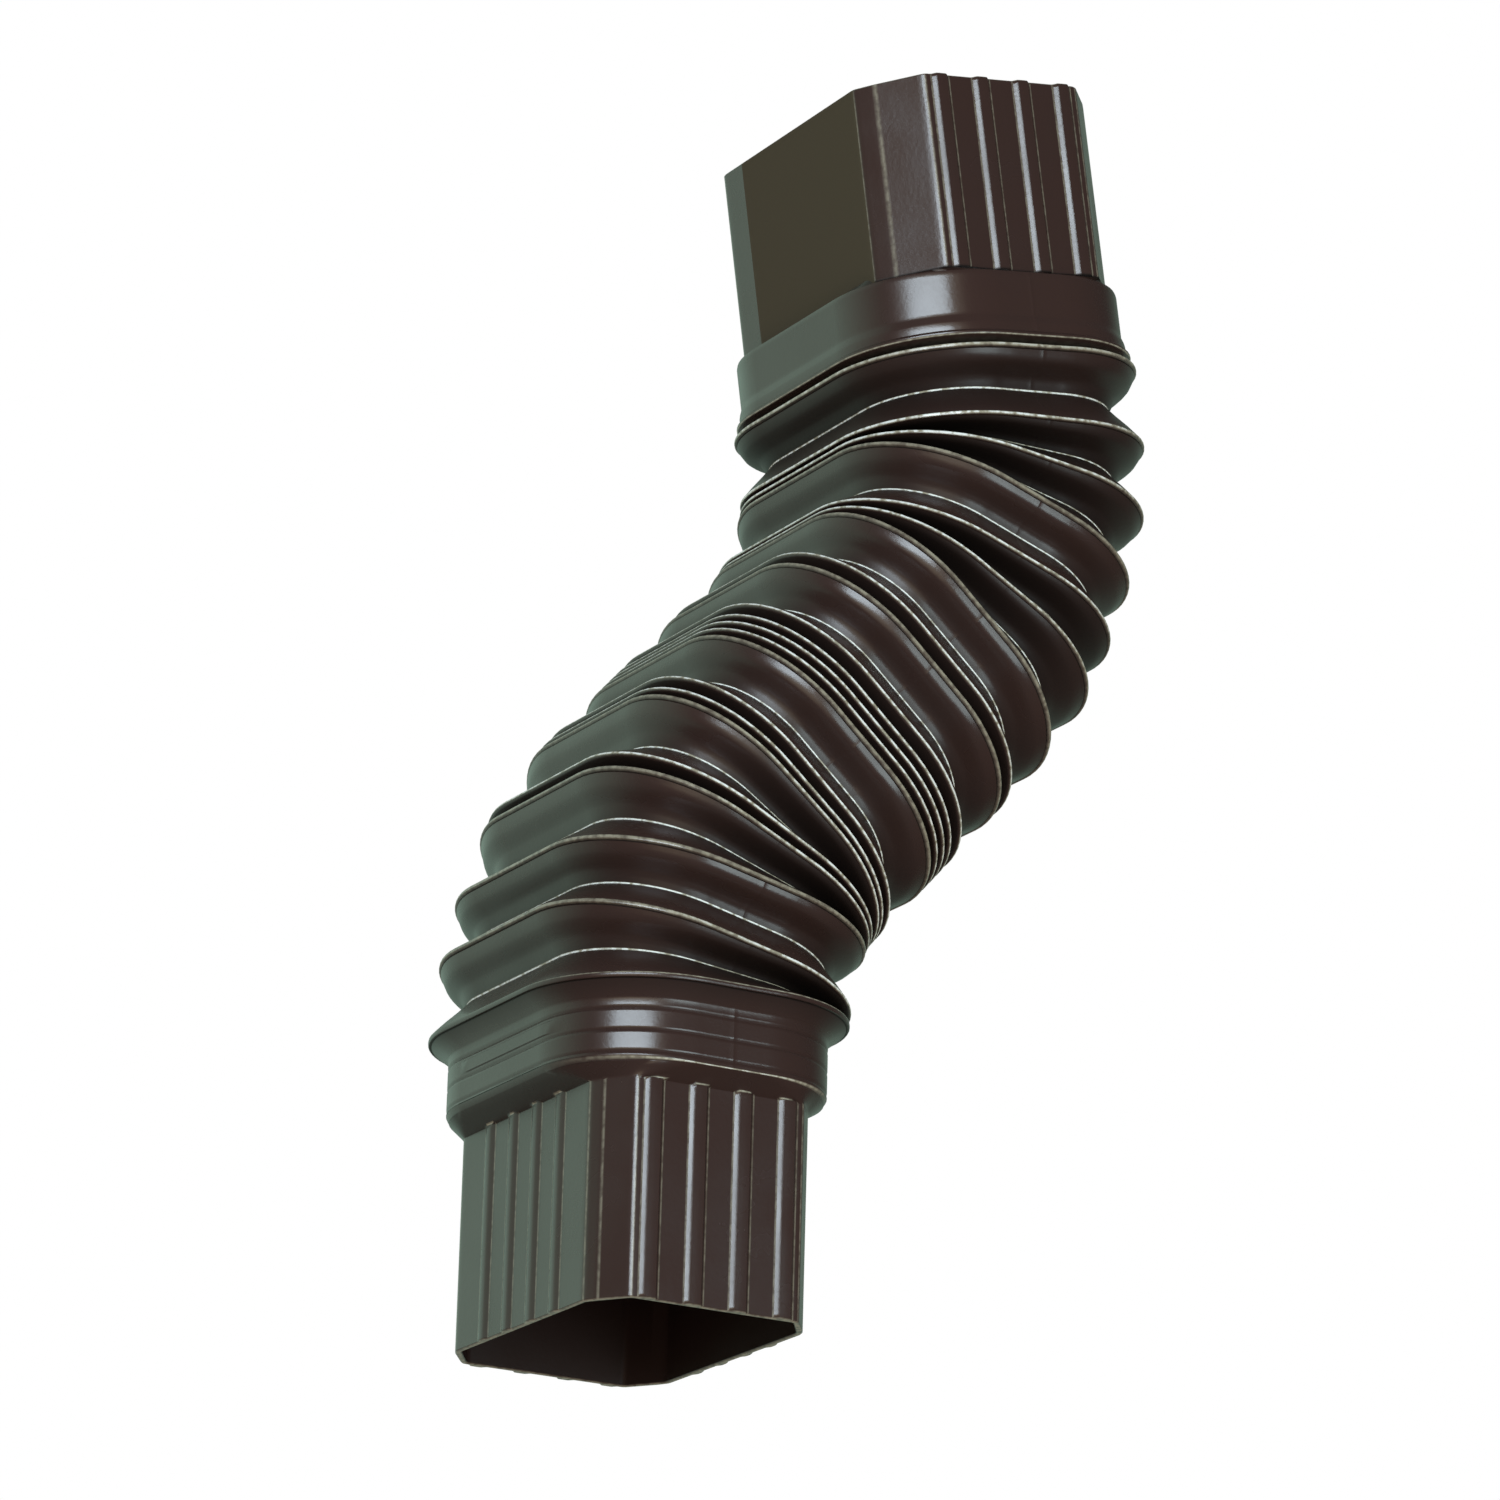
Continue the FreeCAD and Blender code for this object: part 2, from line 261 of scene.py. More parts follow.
def ridge_heights(flat):
    """Heights of the low ridges along the corner facets, at every point of a ring."""
    heights = np.zeros(RING_POINTS)
    for face, start in CORNERS.items():
        corner = flat[start:start + CORNER_POINTS]
        steps = np.linalg.norm(np.diff(corner, axis=0), axis=1)
        share = np.concatenate([[0], np.cumsum(steps)]) / steps.sum()
        if face not in NARROW_FACES:
            share = 1 - share
        profile = (RIDGE_FEET[0], RIDGE_SHARE, RIDGE_FEET[1])
        heights[start:start + CORNER_POINTS] = RIDGE_HEIGHT * np.interp(share, profile, (0, 1, 0))
    return heights


def rib_heights(bare_faces):
    """Heights of the ribs at every point of a spigot's ring."""
    heights = np.zeros(RING_POINTS)
    for face, (start, count) in SIDES.items():
        if face in bare_faces:
            continue
        profile = RIB_HEIGHTS if face in NARROW_FACES else WIDE_RIB_HEIGHTS
        heights[start:start + count] = np.interp(FROM_RIB[start:start + count], RIB_DISTANCES, profile)
    return heights


def spigot_lines(bare_faces):
    """One at every point of a spigot's ring that lies on a rib's foot or on a facet's edge."""
    lines = np.zeros(RING_POINTS)
    for face, (start, count) in SIDES.items():
        if face in bare_faces:
            continue
        lines[start:start + count] = np.isclose(FROM_RIB[start:start + count], RIB_FOOT)
    ridge = BEND_STEPS + 1 + FACET_SHARES.index(RIDGE_SHARE)
    for face, start in CORNERS.items():
        line_points = [BEND_STEPS // 2, ridge, CORNER_POINTS - 1 - BEND_STEPS // 2]
        for point in line_points:
            place = point if face in NARROW_FACES else CORNER_POINTS - 1 - point
            lines[start + place] = 1
    return lines


class Spigot:
    """One ribbed end: its plain section, its ribs and ridges, and the lines that catch the light."""

    def __init__(self, half, facet, bare_faces=()):
        self.half = half
        self.facet = facet
        self.plain = spigot(half, facet)
        self.normals = outward(self.plain)
        self.raised = rib_heights(bare_faces) + ridge_heights(self.plain)
        self.lines = spigot_lines(bare_faces)

    def outside(self, strength=1.0, inset=0.0):
        """The outer section with its ribs raised to a share of their height."""
        base = spigot(self.half, self.facet, inset) if inset else self.plain
        return base + self.normals * (self.raised * strength)[:, None]

    def shoulder(self, collar, share):
        """A section of the shoulder, where the ribs run out into the slope."""
        blend = (1 - share) * self.plain + share * collar
        rise = np.linalg.norm(blend - self.plain, axis=1)
        return blend + self.normals * np.maximum(self.raised - rise, 0)[:, None]

    def inside(self, inset=SPIGOT_WALL):
        """The bore's section."""
        return spigot(self.half, self.facet, inset)


LOWER_SPIGOT = Spigot(LOWER_HALF, LOWER_FACET)
UPPER_SPIGOT = Spigot(UPPER_HALF, UPPER_FACET, bare_faces=("-X",))


def seamed(flat):
    """A section with the parting seam raised in the middle of both narrow faces."""
    flat = flat.copy()
    flat[SEAM_POINTS, 1] += np.sign(flat[SEAM_POINTS, 1]) * SEAM_HEIGHT
    return flat


class Skin:
    """Rings that follow each other, each with its whitening (wear and painted highlight), its painted shade
    and the points it keeps.
    """

    def __init__(self):
        self.rings = []
        self.edges = []
        self.painted_shades = []
        self.kept = []

    def add(self, points, edge=0.0, depth=0.0, kept=PLAIN):
        self.rings.append(points)
        self.edges.append(np.ones(RING_POINTS) * edge)
        self.painted_shades.append(np.ones(RING_POINTS) * depth)
        self.kept.append(kept)

    def kept_rows(self, rows):
        """The rows of the kept points, ring after ring, as one array."""
        return np.concatenate([row[kept] for row, kept in zip(rows, self.kept)])

    def faces(self):
        """Faces between each ring and the next, as lists of point numbers; the last joins the first."""
        numbered = []
        count = 0
        for kept in self.kept:
            numbers = iter(range(count, count + kept.sum()))
            numbered.append([next(numbers) if keep else None for keep in kept])
            count += int(kept.sum())
        faces = []
        for here, there in zip(numbered, numbered[1:] + numbered[:1]):
            shared = [place for place in range(RING_POINTS) if None not in (here[place], there[place])]
            for first, last in zip(shared, shared[1:] + [RING_POINTS]):
                span = [place % RING_POINTS for place in range(first, last + 1)]
                forth = [here[place] for place in span]
                back = [there[place] for place in reversed(span)]
                faces.append([number for number in forth + back if number is not None])
        return faces


class Fold:
    """One fold of the bellows: its two mouths and the pose of its root."""

    def __init__(self, words):
        self.left = GAPS[words[0]]
        self.right = GAPS[words[1]]
        self.pose = None


COLLAR_FOOT = LOWER_LENGTH + LOWER_SHOULDER
FLANGE_FOOT = COLLAR_FOOT + LOWER_COLLAR
FLANGE_TOP = FLANGE_FOOT + FLANGE


def fold_chain():
    """The poses of all crests and roots, going up from the top edge of the flange."""
    crest_size = 2 * (CORE_HALF[0] + CREST_RADIUS)
    crest = Pose(0, FLANGE_TOP - CREST_WIDTH / 2, 0)
    crests = [crest]
    folds = []
    for words in FOLDS:
        fold = Fold(words)
        turn = math.atan((fold.right - fold.left) / crest_size)
        advance = (fold.left + fold.right) / 2 + CREST_WIDTH
        lean = crest.tilt - turn / 2
        start = Pose(crest.x, crest.z, lean)
        fold.pose = start.along(advance / 2)
        end = start.along(advance)
        crest = Pose(end.x, end.z, crest.tilt - turn)
        crests.append(crest)
        folds.append(fold)
    return crests, folds


# A ring this near to an edge keeps the rounding of the edge off the flat beside it
SUPPORT = 0.6
# Whitening of the lines on the spigots, the rims, the collar's lower edge and the lips: partly wear and
# partly painted highlight
LINE_EDGE = 0.22
RIM_EDGE = 0.3
COLLAR_EDGE = 0.8
LIP_EDGE = 0.5
# Rings of the lower shoulder: share of the slope, and whitening (wear and painted highlight) of the rib
# tops there
SHOULDER_RINGS = ((0.08, 0.5), (0.16, 0.0), (0.3, 0.0), (0.6, 0.0), (0.85, 0.0))
# The collar's lower edge: added radius and height on narrow faces, the same on wide ones, whitening (wear
# and painted highlight)
COLLAR_FOOT_RINGS = (
    ((-0.15, -0.12), (-1.0, -0.5), 0.0),
    ((0.0, 0.02), (-0.25, 0.4), COLLAR_EDGE),
    ((0.0, 0.3), (0.0, 0.9), 0.0),
)
# Heights of the rings across a ring groove, in half widths of the groove
GROOVE_SHARES = (-1.4, -1, -0.5, 0, 0.5, 1, 1.4)
# The flange: radius, height, whitening and painted shade of its rings; the painted shade lies under the lip
LIP_FOOT = FLANGE_TOP - FLANGE_EDGE
FLANGE_RINGS = (
    (LOWER_COLLAR_RADIUS, FLANGE_FOOT - 0.6, 0, 0),
    (LOWER_COLLAR_RADIUS + 0.2, FLANGE_FOOT, 0, 0),
    (CREST_RADIUS - 0.9, LIP_FOOT - 0.25, 0, 0.3),
    (CREST_RADIUS - 0.75, LIP_FOOT, 0, 0.8),
    (CREST_RADIUS - 0.15, LIP_FOOT + 0.1, 0, 0.1),
    (CREST_RADIUS, LIP_FOOT + 0.35, 0, 0),
    (CREST_RADIUS, FLANGE_TOP - 0.45, 0, 0),
    (CREST_RADIUS - 0.05, FLANGE_TOP - 0.2, LIP_EDGE, 0),
    (CREST_RADIUS - 0.25, FLANGE_TOP, 0, 0),
)

# A blank raised oblong on the lower collar's -X face, where the collar faces sideways enough
OBLONG_ENDS = (-25.5, 19.0)
OBLONG_FACING = 0.5
OBLONG_HEIGHT = 0.3
# Its rings: height, and share of the oblong's own height
OBLONG_RINGS = ((63.75, 0), (64.0, 1), (66.75, 1), (67.0, 0))


def oblong_heights(flat):
    """The oblong's height at every point of the collar's ring."""
    inside = (flat[:, 1] > OBLONG_ENDS[0]) & (flat[:, 1] < OBLONG_ENDS[1]) & (flat[:, 0] < 0)
    return OBLONG_HEIGHT * (inside & (SIDEWAYS > OBLONG_FACING))


def lower_skin(skin):
    """Lower spigot with its ribs, shoulder, collar with its ring grooves, and the flange."""
    end = LOWER_SPIGOT
    lines = end.lines * LINE_EDGE
    skin.add(GROUND.place(end.outside(inset=RIM_ROUND)), RIM_EDGE, kept=RIBBED)
    for height in (RIM_ROUND, RIM_ROUND + SUPPORT, LOWER_LENGTH - SUPPORT, LOWER_LENGTH):
        skin.add(GROUND.place(end.outside(), height), lines, kept=RIBBED)
    collar = grown_core(LOWER_COLLAR_RADIUS)
    for share, edge in SHOULDER_RINGS:
        rib_tops = edge * (end.raised > RIB_TOP)
        slope = GROUND.place(end.shoulder(collar, share), LOWER_LENGTH + share * LOWER_SHOULDER)
        skin.add(slope, rib_tops, kept=RIBBED)
    sideways = SIDEWAYS[:, None]
    for crisp, rounded, edge in COLLAR_FOOT_RINGS:
        crisp_flat = seamed(grown_core(LOWER_COLLAR_RADIUS + crisp[0]))
        round_flat = seamed(grown_core(LOWER_COLLAR_RADIUS + rounded[0]))
        crisp_ring = GROUND.place(crisp_flat, COLLAR_FOOT + crisp[1])
        round_ring = GROUND.place(round_flat, COLLAR_FOOT + rounded[1])
        # The whitening is kept to the narrow faces, as a painted highlight along the lit edge
        skin.add((1 - sideways) * crisp_ring + sideways * round_ring, edge * (1 - SIDEWAYS))
    plain = seamed(grown_core(LOWER_COLLAR_RADIUS))
    for ring in RING_HEIGHTS:
        if ring == RING_HEIGHTS[-1]:
            for height, share in OBLONG_RINGS:
                raised = plain + ROUND_NORMALS * (share * oblong_heights(plain))[:, None]
                skin.add(GROUND.place(raised, height))
        for share in GROOVE_SHARES:
            depth = RING_DEPTH * math.cos(np.clip(share, -1, 1) * math.pi / 2) ** 2
            outline = seamed(grown_core(LOWER_COLLAR_RADIUS - depth))
            skin.add(GROUND.place(outline, COLLAR_FOOT + ring + share * RING_HALF_WIDTH))
    for radius, height, edge, depth in FLANGE_RINGS:
        skin.add(GROUND.place(grown_core(radius), height), edge * FACING_Y, depth)


# A crest's rim: height along the axis, inset, and whitening over an open fold and over a shut one; the
# whitening is partly wear and partly painted highlight
RIM_RINGS = (
    (-0.5, 0.3, 0.1, 0.0),
    (-0.35, 0.04, 0.26, 0.1),
    (0.0, 0.0, 0.3, 0.9),
    (0.25, 0.02, 0.3, 1.0),
    (0.4, 0.08, 0.25, 0.6),
    (0.5, 0.25, 0.1, 0.0),
)
# Shares of the way from a fold's root to the crest, for walls that look up and walls that look down
UPWARD_SHARES = (0.96, 0.7, 0.35, 0.035)
UNDERSIDE_SHARES = (0.035, 0.17, 0.31, 0.38, 0.45, 0.55, 0.62, 0.69, 0.83, 0.94)
SHUT_SHARES = (0.9, 0.4)
LINE_SHARE = 0.018
# A shallow crease under each crest's rim, with painted shade in it
CREASE_SHARE = 0.975
CREASE_INSET = 0.35
CREASE_PAINTED_SHADE = 0.85
# A fold whose mouth is wider than this has the full set of rings
OPEN_MOUTH = 6.0
# Mouth at which a fold's painted shade is lightest, and the same for a fold that opens to the +X side
DEEP_MOUTH = 16.0
FAR_DEEP_MOUTH = 21.0
# How fast a fold's painted shade deepens as its mouth closes, and along its walls when it is shut and when
# it is open
CLOSING_POWER = 2.2
SHUT_POWER = 0.2
OPEN_POWER = 2
ROOT_SHADE = 0.35
# The S curve of a wall: strength, start and end along the wall, and straightening on the wide sides
UPWARD_SWELL = (0.3, 0.0, 1.0)
UNDERSIDE_SWELL = (0.7, 0.28, 0.72)
STRAIGHTENING = 0.6


def wall_ring(root, tip, normals, share, swell):
    """A ring of a fold's wall at a share of the way from its root to a crest's rim, on an S curve."""
    reach = tip - root
    outwards = (reach * normals).sum(axis=1)[:, None] * normals
    amount, begin, end = swell
    step = min(max((share - begin) / (end - begin), 0), 1)
    amounts = amount * (1 - STRAIGHTENING * SIDEWAYS)[:, None]
    curve = (1 - amounts) * share + amounts * step * step * (3 - 2 * step)
    points = root + share * (reach - outwards) + curve * outwards
    points[SEAM_POINTS] += normals[SEAM_POINTS] * SEAM_HEIGHT
    return points


def shade(openness, share):
    """How much painted shade a fold's wall gets at a share of the way from its root to the crest."""
    return (1 - openness) * (1 - share) ** SHUT_POWER + openness * ROOT_SHADE * (1 - share) ** OPEN_POWER


def bellows_skin(skin, crests, folds):
    """All folds from the flange to the collar: wall, root, wall, crease, rim."""
    rim_flats = [grown_core(CREST_RADIUS - inset) for _, inset, _, _ in RIM_RINGS]
    root_flat = grown_core(ROOT_RADIUS)
    previous = skin.rings[-1]
    reach = np.clip(grown_core(CREST_RADIUS)[:, 0] / (CORE_HALF[0] + CREST_RADIUS), -1, 1)
    for index, fold in enumerate(folds):
        gap = fold.left * (1 - reach) / 2 + fold.right * (1 + reach) / 2
        # Painted shade of the fold: darker where its mouth is narrow, lightest where it is wide open
        deep_mouth = FAR_DEEP_MOUTH if fold.left < fold.right else DEEP_MOUTH
        openness = np.clip(gap / deep_mouth, 0, 1) ** CLOSING_POWER
        depth = 1 - openness * (1 - ROOT_SHADE)
        is_open = gap.max() > OPEN_MOUTH
        normals = fold.pose.place(ROUND_NORMALS) - fold.pose.place(np.zeros((1, 2)))
        root = fold.pose.place(root_flat)
        # Root lines whiten more in open folds: partly wear, partly painted highlight
        line = np.clip(gap / GAPS["open"], 0, 1)
        for share in UPWARD_SHARES if is_open else SHUT_SHARES:
            skin.add(wall_ring(root, previous, normals, share, UPWARD_SWELL), 0, shade(openness, share))
        if is_open:
            skin.add(wall_ring(root, previous, normals, LINE_SHARE, UPWARD_SWELL), line, depth)
        skin.add(root, line, depth)
        if fold is folds[-1]:
            break
        crest = crests[index + 1]
        rim = [crest.place(flat, lift) for flat, (lift, _, _, _) in zip(rim_flats, RIM_RINGS)]
        if is_open:
            skin.add(wall_ring(root, rim[0], normals, LINE_SHARE, UNDERSIDE_SWELL), line, depth)
        for share in UNDERSIDE_SHARES if is_open else SHUT_SHARES[::-1]:
            skin.add(wall_ring(root, rim[0], normals, share, UNDERSIDE_SWELL), 0, shade(openness, share))
        if is_open:
            crease = wall_ring(root, rim[0], normals, CREASE_SHARE, UNDERSIDE_SWELL)
            skin.add(crease - normals * CREASE_INSET, 0, CREASE_PAINTED_SHADE)
        for ring, (_, _, open_edge, shut_edge) in zip(rim, RIM_RINGS):
            skin.add(ring, openness * open_edge + (1 - openness) * shut_edge)
        previous = rim[-1]


# The upper collar with its lip and soft step: radius, height and whitening of its rings
STEP_HALF = 1.2
UPPER_RINGS = (
    (UPPER_LIP_RADIUS - 0.3, 0.0, 0.0),
    (UPPER_LIP_RADIUS - 0.05, 0.25, LIP_EDGE),
    (UPPER_LIP_RADIUS, 0.5, 0.0),
    (UPPER_LIP_RADIUS, UPPER_LIP / 2, 0.0),
    (UPPER_TIER_RADIUS, UPPER_LIP, 0.0),
    (UPPER_TIER_RADIUS, UPPER_LIP + SUPPORT, 0.0),
    (UPPER_TIER_RADIUS, UPPER_STEP - STEP_HALF, 0.0),
    (UPPER_TIER_RADIUS - 0.1, UPPER_STEP - 0.7, 0.0),
    (UPPER_COLLAR_RADIUS + 0.1, UPPER_STEP + 0.7, 0.0),
    (UPPER_COLLAR_RADIUS, UPPER_STEP + STEP_HALF, 0.0),
    (UPPER_COLLAR_RADIUS, UPPER_STEP + STEP_HALF + SUPPORT, 0.0),
    (UPPER_COLLAR_RADIUS, UPPER_COLLAR - 2 * SUPPORT, 0.0),
    (UPPER_COLLAR_RADIUS, UPPER_COLLAR - SUPPORT, 0.0),
    (UPPER_COLLAR_RADIUS - 0.2, UPPER_COLLAR + 0.1, 0.0),
    (UPPER_COLLAR_RADIUS - 0.7, UPPER_COLLAR + 0.35, 0.0),
)


def upper_skin(skin, foot):
    """Upper collar with its lip and step, and the ribbed spigot up to the rim."""
    for radius, height, edge in UPPER_RINGS:
        skin.add(foot.place(seamed(grown_core(radius)), height), edge)
    end = UPPER_SPIGOT
    lines = end.lines * LINE_EDGE
    rim = UPPER_COLLAR + UPPER_SHOULDER + UPPER_LENGTH
    crease = UPPER_COLLAR + UPPER_CREASE
    # The crease at the foot of the upper spigot carries painted shade
    skin.add(foot.place(end.outside(), crease), 0, CREASE_PAINTED_SHADE, RIBBED)
    for height in (crease + SUPPORT, crease + 2 * SUPPORT, rim - RIM_ROUND - SUPPORT, rim - RIM_ROUND):
        skin.add(foot.place(end.outside(), height), lines, kept=RIBBED)
    skin.add(foot.place(end.outside(inset=RIM_ROUND), rim), RIM_EDGE, kept=RIBBED)


# A crest whose foot is narrower than this is solid
SOLID_FOOT = 4.5 * BELLOWS_WALL


def hollow_flat(below, above):
    """The inside of a crest, or None where the crest is pressed solid."""
    left = (below.left + above.left) / 2 + CREST_WIDTH
    right = (below.right + above.right) / 2 + CREST_WIDTH
    deep = grown_core(CREST_RADIUS - TIP_WALL)
    if left < SOLID_FOOT and right < SOLID_FOOT:
        return None
    if left >= SOLID_FOOT and right >= SOLID_FOOT:
        return deep
    deep_side = 1 if right > left else -1
    shallow = grown_core(ROOT_RADIUS - BELLOWS_WALL)
    share = np.clip(0.5 + deep_side * deep[:, 0] / (2 * deep[:, 0].max()), 0, 1)[:, None]
    return share * deep + (1 - share) * shallow


# Painted shade on the bore's wall
BORE_PAINTED_SHADE = 0.5


def inner_skin(skin, crests, folds, foot):
    """The bore, from the upper rim down to the lower rim."""
    bore = Skin()
    bore.add(GROUND.place(LOWER_SPIGOT.inside(SPIGOT_WALL - RIM_ROUND)), RIM_EDGE)
    bore.add(GROUND.place(LOWER_SPIGOT.inside(), RIM_ROUND), 0, BORE_PAINTED_SHADE / 2)
    bore.add(GROUND.place(LOWER_SPIGOT.inside(), LOWER_LENGTH + BELLOWS_WALL / 2), 0, BORE_PAINTED_SHADE)
    collar = grown_core(LOWER_COLLAR_RADIUS - SPIGOT_WALL)
    bore.add(GROUND.place(collar, COLLAR_FOOT + BELLOWS_WALL), 0, BORE_PAINTED_SHADE)
    bore.add(GROUND.place(collar, FLANGE_FOOT), 0, BORE_PAINTED_SHADE)
    land = grown_core(ROOT_RADIUS - BELLOWS_WALL)
    hollows = [None]
    for below, above in zip(folds[:-1], folds[1:]):
        hollows.append(hollow_flat(below, above))
    hollows.append(None)
    for index, fold in enumerate(folds):
        shut_round = hollows[index] is None and hollows[index + 1] is None
        if shut_round and 0 < index < len(folds) - 1:
            continue
        bore.add(fold.pose.place(land, -LAND_HALF_WIDTH), 0, BORE_PAINTED_SHADE)
        bore.add(fold.pose.place(land, LAND_HALF_WIDTH), 0, BORE_PAINTED_SHADE)
        if hollows[index + 1] is not None:
            bore.add(crests[index + 1].place(hollows[index + 1]), 0, BORE_PAINTED_SHADE)
    collar = grown_core(UPPER_COLLAR_RADIUS - SPIGOT_WALL)
    top = UPPER_COLLAR + UPPER_SHOULDER
    rim = top + UPPER_LENGTH
    bore.add(foot.place(collar, UPPER_LIP + BELLOWS_WALL), 0, BORE_PAINTED_SHADE)
    bore.add(foot.place(collar, UPPER_COLLAR - BELLOWS_WALL), 0, BORE_PAINTED_SHADE)
    bore.add(foot.place(UPPER_SPIGOT.inside(), top), 0, BORE_PAINTED_SHADE)
    bore.add(foot.place(UPPER_SPIGOT.inside(), rim - RIM_ROUND), 0, BORE_PAINTED_SHADE / 2)
    bore.add(foot.place(UPPER_SPIGOT.inside(SPIGOT_WALL - RIM_ROUND), rim), RIM_EDGE)
    for points, edge, depth in zip(reversed(bore.rings), reversed(bore.edges), reversed(bore.painted_shades)):
        skin.add(points, edge, depth)


# The bare field: its ends along Y, and how far a point may be off the face and below the crease
PANEL_NEAR = -32.6
PANEL_FAR = 23.5
FACE_SLACK = 0.4
CREASE_SLACK = 0.1


def panel_mask(points, foot):
    """True where a point lies on the bare field of the upper spigot's -X face."""
    x = points[:, 0] - foot.x
    z = points[:, 2] - foot.z
    across = x * math.cos(foot.tilt) - z * math.sin(foot.tilt)
    height = x * math.sin(foot.tilt) + z * math.cos(foot.tilt)
    on_face = across < FACE_SLACK - UPPER_HALF[0]
    inside = (points[:, 1] > PANEL_NEAR) & (points[:, 1] < PANEL_FAR)
    above = height > UPPER_COLLAR + UPPER_CREASE - CREASE_SLACK
    return on_face & inside & above


def float_attribute(mesh, name, domain, values):
    """A value for every point or face, which the material reads by name."""
    attribute = mesh.attributes.new(name, "FLOAT", domain)
    attribute.data.foreach_set("value", np.asarray(values, np.float32))


SHARP_ANGLE = math.radians(40)


def make_elbow():
    """The whole moulding as one closed mesh."""
    crests, folds = fold_chain()
    foot = crests[-1]
    skin = Skin()
    lower_skin(skin)
    bellows_skin(skin, crests, folds)
    upper_skin(skin, foot)
    inner_skin(skin, crests, folds, foot)
    points = skin.kept_rows(skin.rings)
    faces = skin.faces()
    on_panel = panel_mask(points, foot)
    mesh = bpy.data.meshes.new("elbow_skin")
    mesh.from_pydata((points * MM).tolist(), [], faces)
    # The edge attribute carries whitening, partly wear and partly painted highlight; the depth attribute
    # carries painted shade
    float_attribute(mesh, "edge", "POINT", skin.kept_rows(skin.edges))
    float_attribute(mesh, "depth", "POINT", skin.kept_rows(skin.painted_shades))
    float_attribute(mesh, "panel", "FACE", [on_panel[face].all() for face in faces])
    mesh.shade_smooth()
    mesh.set_sharp_from_angle(angle=SHARP_ANGLE)
    elbow = bpy.data.objects.new("elbow_skin", mesh)
    bpy.context.scene.collection.objects.link(elbow)
    print(f"elbow_skin has {sum(len(face) - 2 for face in faces)} triangles")
    return elbow


# Material: colours
PLASTIC_BROWN = (0.047, 0.024, 0.019, 1)
PLASTIC_UMBER = (0.04, 0.021, 0.0165, 1)
# Painted shade colour of the folds, creases and bore
PAINTED_SHADE_BROWN = (0.0025, 0.0025, 0.002, 1)
# Whitening colours of the edges: partly wear, partly painted highlight
WORN_AND_LIT_BEIGE = (0.36, 0.32, 0.23, 1)
WORN_AND_LIT_WHITE = (0.82, 0.82, 0.76, 1)
PANEL_OLIVE = (0.071, 0.058, 0.035, 1)
# Noises, as scale and detail, and the range of each that is used
MOTTLE = (55, 4)
MOTTLE_RANGE = (0.3, 0.7)
PATCHES = (600, 2)
PATCHES_RANGE = (0.35, 0.6)
PATCHES_STRENGTH = (0.5, 1.25)
GRAIN = (900, 3)
GRAIN_STRENGTH = 0.06
GRAIN_HEIGHT = 0.0004
# The most that painted shade darkens a fold's colour, and the whitening (wear and painted highlight) at
# which the edge is all beige
DEEPEST_PAINTED_SHADE = 0.98
BEIGE_WEAR_AND_HIGHLIGHT = 0.5
# Roughness and specular level of the plastic, of a deep fold where painted shade also dims the reflection,
# and of the bare field
ROUGHNESS = (0.2, 0.29)
DEEP_ROUGHNESS = 0.6
PANEL_ROUGHNESS = 0.9
SPECULAR = 0.5
PAINTED_SHADE_SPECULAR = 0.05
PANEL_SPECULAR = 0.1
PLASTIC_IOR = 1.52


class NodeKit:
    """Short ways to add the nodes that the plastic and the room use."""

    def __init__(self, tree):
        self.nodes = tree.nodes
        self.links = tree.links

    def noise(self, vector, scale, detail):
        node = self.nodes.new("ShaderNodeTexNoise")
        node.inputs["Scale"].default_value = scale
        node.inputs["Detail"].default_value = detail
        self.links.new(vector, node.inputs["Vector"])
        return node.outputs["Fac"]

    def attribute(self, name):
        node = self.nodes.new("ShaderNodeAttribute")
        node.attribute_name = name
        return node.outputs["Fac"]

    def remap(self, value, low, high, to_low=0.0, to_high=1.0):
        node = self.nodes.new("ShaderNodeMapRange")
        node.inputs["From Min"].default_value = low
        node.inputs["From Max"].default_value = high
        node.inputs["To Min"].default_value = to_low
        node.inputs["To Max"].default_value = to_high
        self.links.new(value, node.inputs["Value"])
        return node.outputs["Result"]

    def times(self, first, second):
        node = self.nodes.new("ShaderNodeMath")
        node.operation = "MULTIPLY"
        self.links.new(first, node.inputs[0])
        self.links.new(second, node.inputs[1])
        return node.outputs["Value"]

    def along(self, vector, way):
        """How far a direction points along a fixed way."""
        node = self.nodes.new("ShaderNodeVectorMath")
        node.operation = "DOT_PRODUCT"
        node.inputs[1].default_value = way
        self.links.new(vector, node.inputs[0])
        return node.outputs["Value"]

    def mix(self, kind, factor, first, second):
        """A mix whose two ends are sockets or fixed values."""
        node = self.nodes.new("ShaderNodeMix")
        node.data_type = kind
        self.links.new(factor, node.inputs["Factor"])
        for name, value in (("A", first), ("B", second)):
            socket = next(item for item in node.inputs if item.name == name and item.enabled)
            if isinstance(value, bpy.types.NodeSocket):
                self.links.new(value, socket)
            else:
                socket.default_value = value
        return next(output for output in node.outputs if output.enabled)


